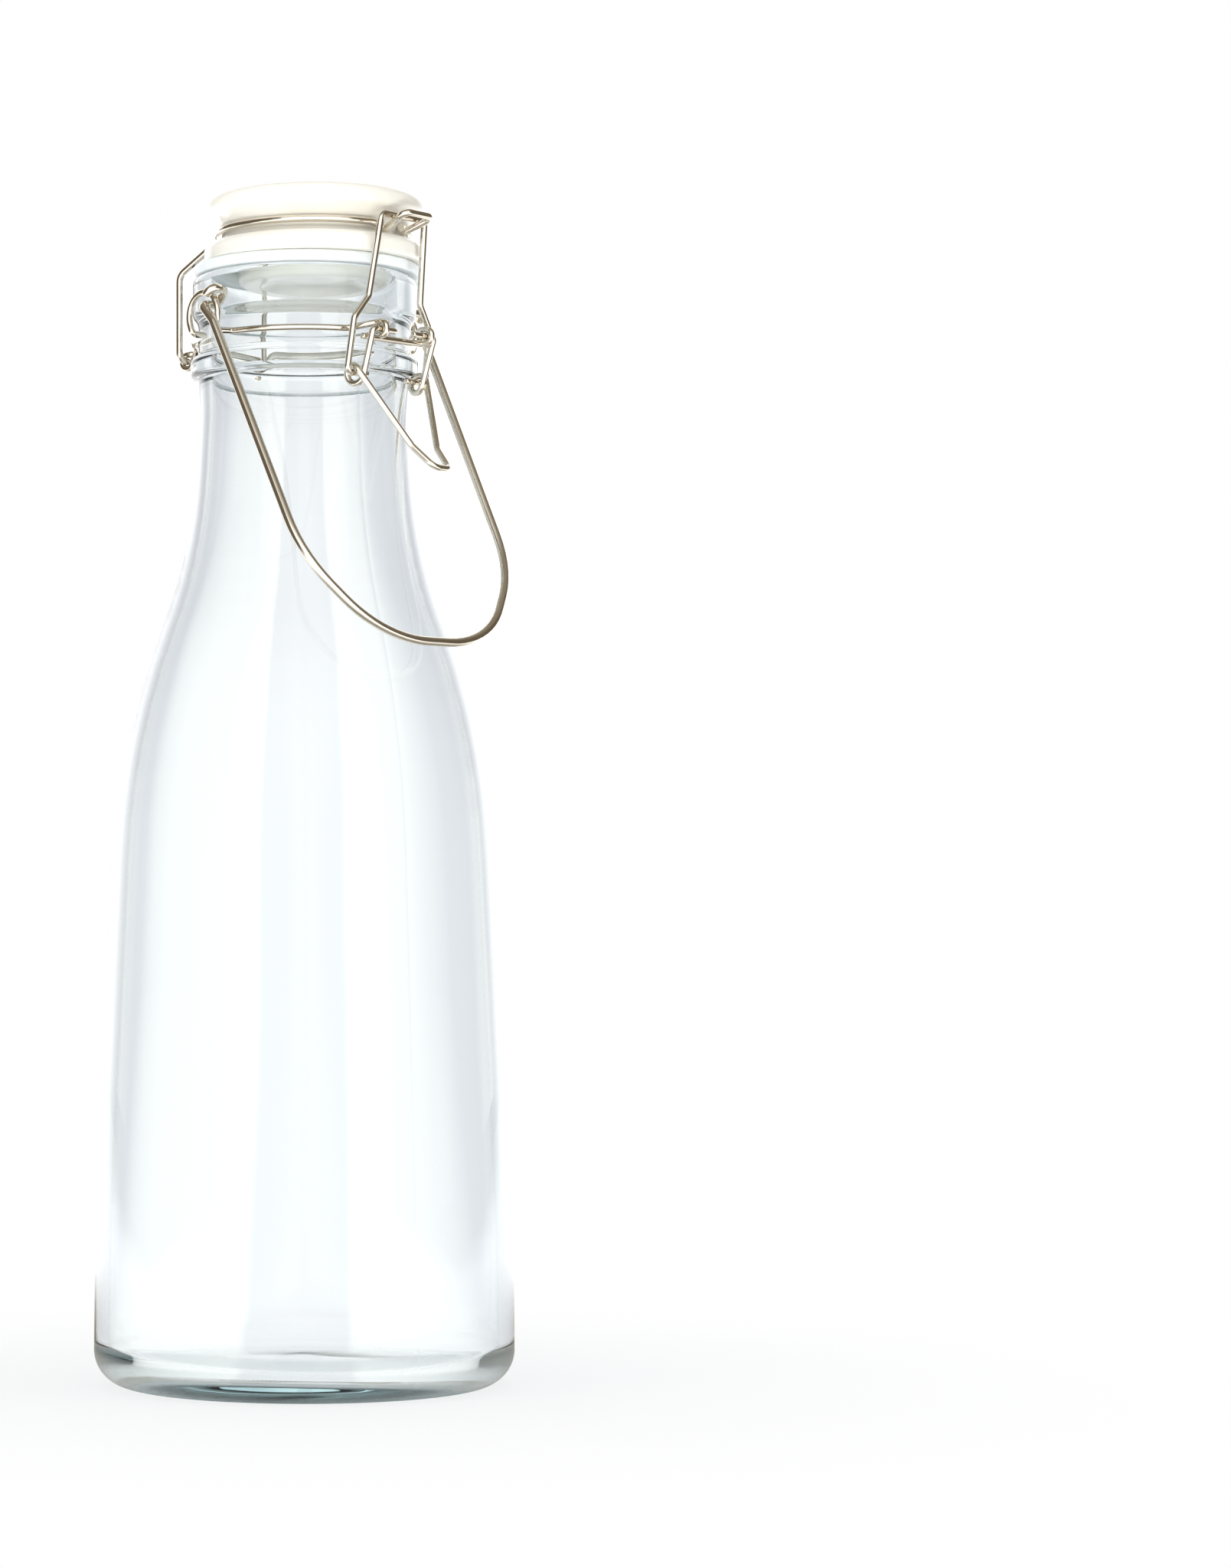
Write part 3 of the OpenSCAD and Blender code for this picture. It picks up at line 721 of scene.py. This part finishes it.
def studio_tone(nt, left, ahead, height, steep, hold=math.pi):
    """Colour and strength of the set by direction; the camera itself meets plain white."""
    path = nt.nodes.new("ShaderNodeLightPath")
    through_glass, from_camera = path.outputs["Is Transmission Ray"], path.outputs["Is Camera Ray"]
    off = calc(nt, "ARCTAN2", left, ahead)
    held = calc(nt, "MAXIMUM", calc(nt, "MINIMUM", off, hold), -hold)
    wave = calc(nt, "COSINE", calc(nt, "MULTIPLY", calc(nt, "SUBTRACT", held, PANELS_OFF), PANELS_THROUGH))
    strip = calc(nt, "ABSOLUTE", calc(nt, "SUBTRACT", off, STRIP_OFF))
    panels = pick(nt, fit(nt, strip, STRIP_IN, STRIP_OUT), STRIP, WHITE)
    through = pick(nt, fit(nt, wave, 0.2, 0.95), SIDE_GLASS, panels)
    through = pick(nt, fit(nt, height, HIGH_START, HIGH_END), through, HIGH_GLASS, "MULTIPLY")
    wave = calc(nt, "COSINE", calc(nt, "MULTIPLY", off, PANELS_GLOSS))
    gloss = pick(nt, fit(nt, wave, -0.2, 0.5), SIDE_GLOSS, WHITE)
    gloss = pick(nt, steep, gloss, STEEP_GLOSS)
    tone = pick(nt, through_glass, gloss, through)
    light = pick_value(nt, through_glass, GLOSS_LIGHT, GLASS_LIGHT)
    return pick(nt, from_camera, tone, WHITE), pick_value(nt, from_camera, light, 1.0)


def floor_material():
    """Pale floor that keeps the object's shade near it and turns white further out."""
    m = bpy.data.materials.new("floor_white")
    m.use_nodes = True
    nt = m.node_tree
    nt.nodes.clear()
    out = nt.nodes.new("ShaderNodeOutputMaterial")
    pale = nt.nodes.new("ShaderNodeBsdfDiffuse")
    pale.inputs["Color"].default_value = (0.9, 0.9, 0.9, 1)
    glow = nt.nodes.new("ShaderNodeEmission")
    spot = nt.nodes.new("ShaderNodeTexCoord").outputs["Object"]
    length = nt.nodes.new("ShaderNodeVectorMath")
    length.operation = "LENGTH"
    nt.links.new(spot, length.inputs[0])
    away = length.outputs["Value"]
    ahead = calc(nt, "ADD", calc(nt, "ABSOLUTE", along(nt, spot, FORWARD)), FLOOR_CENTRE)
    under = fit(nt, away, UNDER_START, UNDER_END)
    tone, light = studio_tone(nt, along(nt, spot, -RIGHT), ahead, 0.0, under, FLOOR_HOLD)
    nt.links.new(tone, glow.inputs["Color"])
    nt.links.new(light, glow.inputs["Strength"])
    path = nt.nodes.new("ShaderNodeLightPath")
    shade = fit(nt, away, SHADE_START, SHADE_END, SHADE_MIX, 1.0)
    shade = calc(nt, "MAXIMUM", shade, path.outputs["Is Transmission Ray"])
    shown = calc(nt, "MULTIPLY", shade, seen(nt))
    surface = either(nt, shown, pale.outputs["BSDF"], glow.outputs["Emission"])
    nt.links.new(surface, out.inputs["Surface"])
    return m


floor_mesh = bpy.data.meshes.new("floor")
f = FLOOR_HALF
floor_mesh.from_pydata([(-f, -f, 0), (f, -f, 0), (f, f, 0), (-f, f, 0)], [], [(0, 1, 2, 3)])
floor_mesh.materials.append(floor_material())
floor = bpy.data.objects.new("floor", floor_mesh)
bpy.context.scene.collection.objects.link(floor)

world = bpy.data.worlds.new("studio")
bpy.context.scene.world = world
world.use_nodes = True
nt = world.node_tree
nt.nodes.clear()
out = nt.nodes.new("ShaderNodeOutputWorld")
soft = nt.nodes.new("ShaderNodeBackground")
soft.inputs["Color"].default_value = (0.92, 0.95, 1, 1)
soft.inputs["Strength"].default_value = 0.55
panels = nt.nodes.new("ShaderNodeBackground")
sky = nt.nodes.new("ShaderNodeTexCoord").outputs["Generated"]
height = along(nt, sky, (0, 0, 1))
steep = fit(nt, calc(nt, "ABSOLUTE", height), STEEP_START, STEEP_END)
tone, light = studio_tone(nt, along(nt, sky, -RIGHT), along(nt, sky, FORWARD), height, steep)
nt.links.new(tone, panels.inputs["Color"])
nt.links.new(light, panels.inputs["Strength"])
surface = either(nt, seen(nt), soft.outputs["Background"], panels.outputs["Background"])
nt.links.new(surface, out.inputs["Surface"])


def lamp(name, place, size, power, aim=(0, 0, 0.14)):
    """Area lamp; place is to the right, further off and up, in metres."""
    data = bpy.data.lights.new(name, "AREA")
    data.shape = "RECTANGLE"
    data.size, data.size_y = size
    data.energy = power
    obj = bpy.data.objects.new(name, data)
    bpy.context.scene.collection.objects.link(obj)
    obj.location = RIGHT * place[0] + FORWARD * place[1] + Vector((0, 0, place[2]))
    obj.rotation_euler = (Vector(aim) - obj.location).to_track_quat("-Z", "Y").to_euler()
    obj.visible_camera = False
    obj.visible_glossy = False
    obj.visible_transmission = False


lamp("key", (-0.9, -0.7, 0.75), (0.5, 0.9), 5.5)
lamp("fill", (1.0, -0.5, 0.5), (0.4, 0.9), 3.5)
lamp("top", (0.0, 0.1, 1.3), (0.9, 0.9), 3.5)
lamp("low", (0.0, -0.5, 0.02), (0.5, 0.04), 1.7, aim=(0, 0, 0.25))

bpy.context.scene.view_settings.view_transform = "Standard"
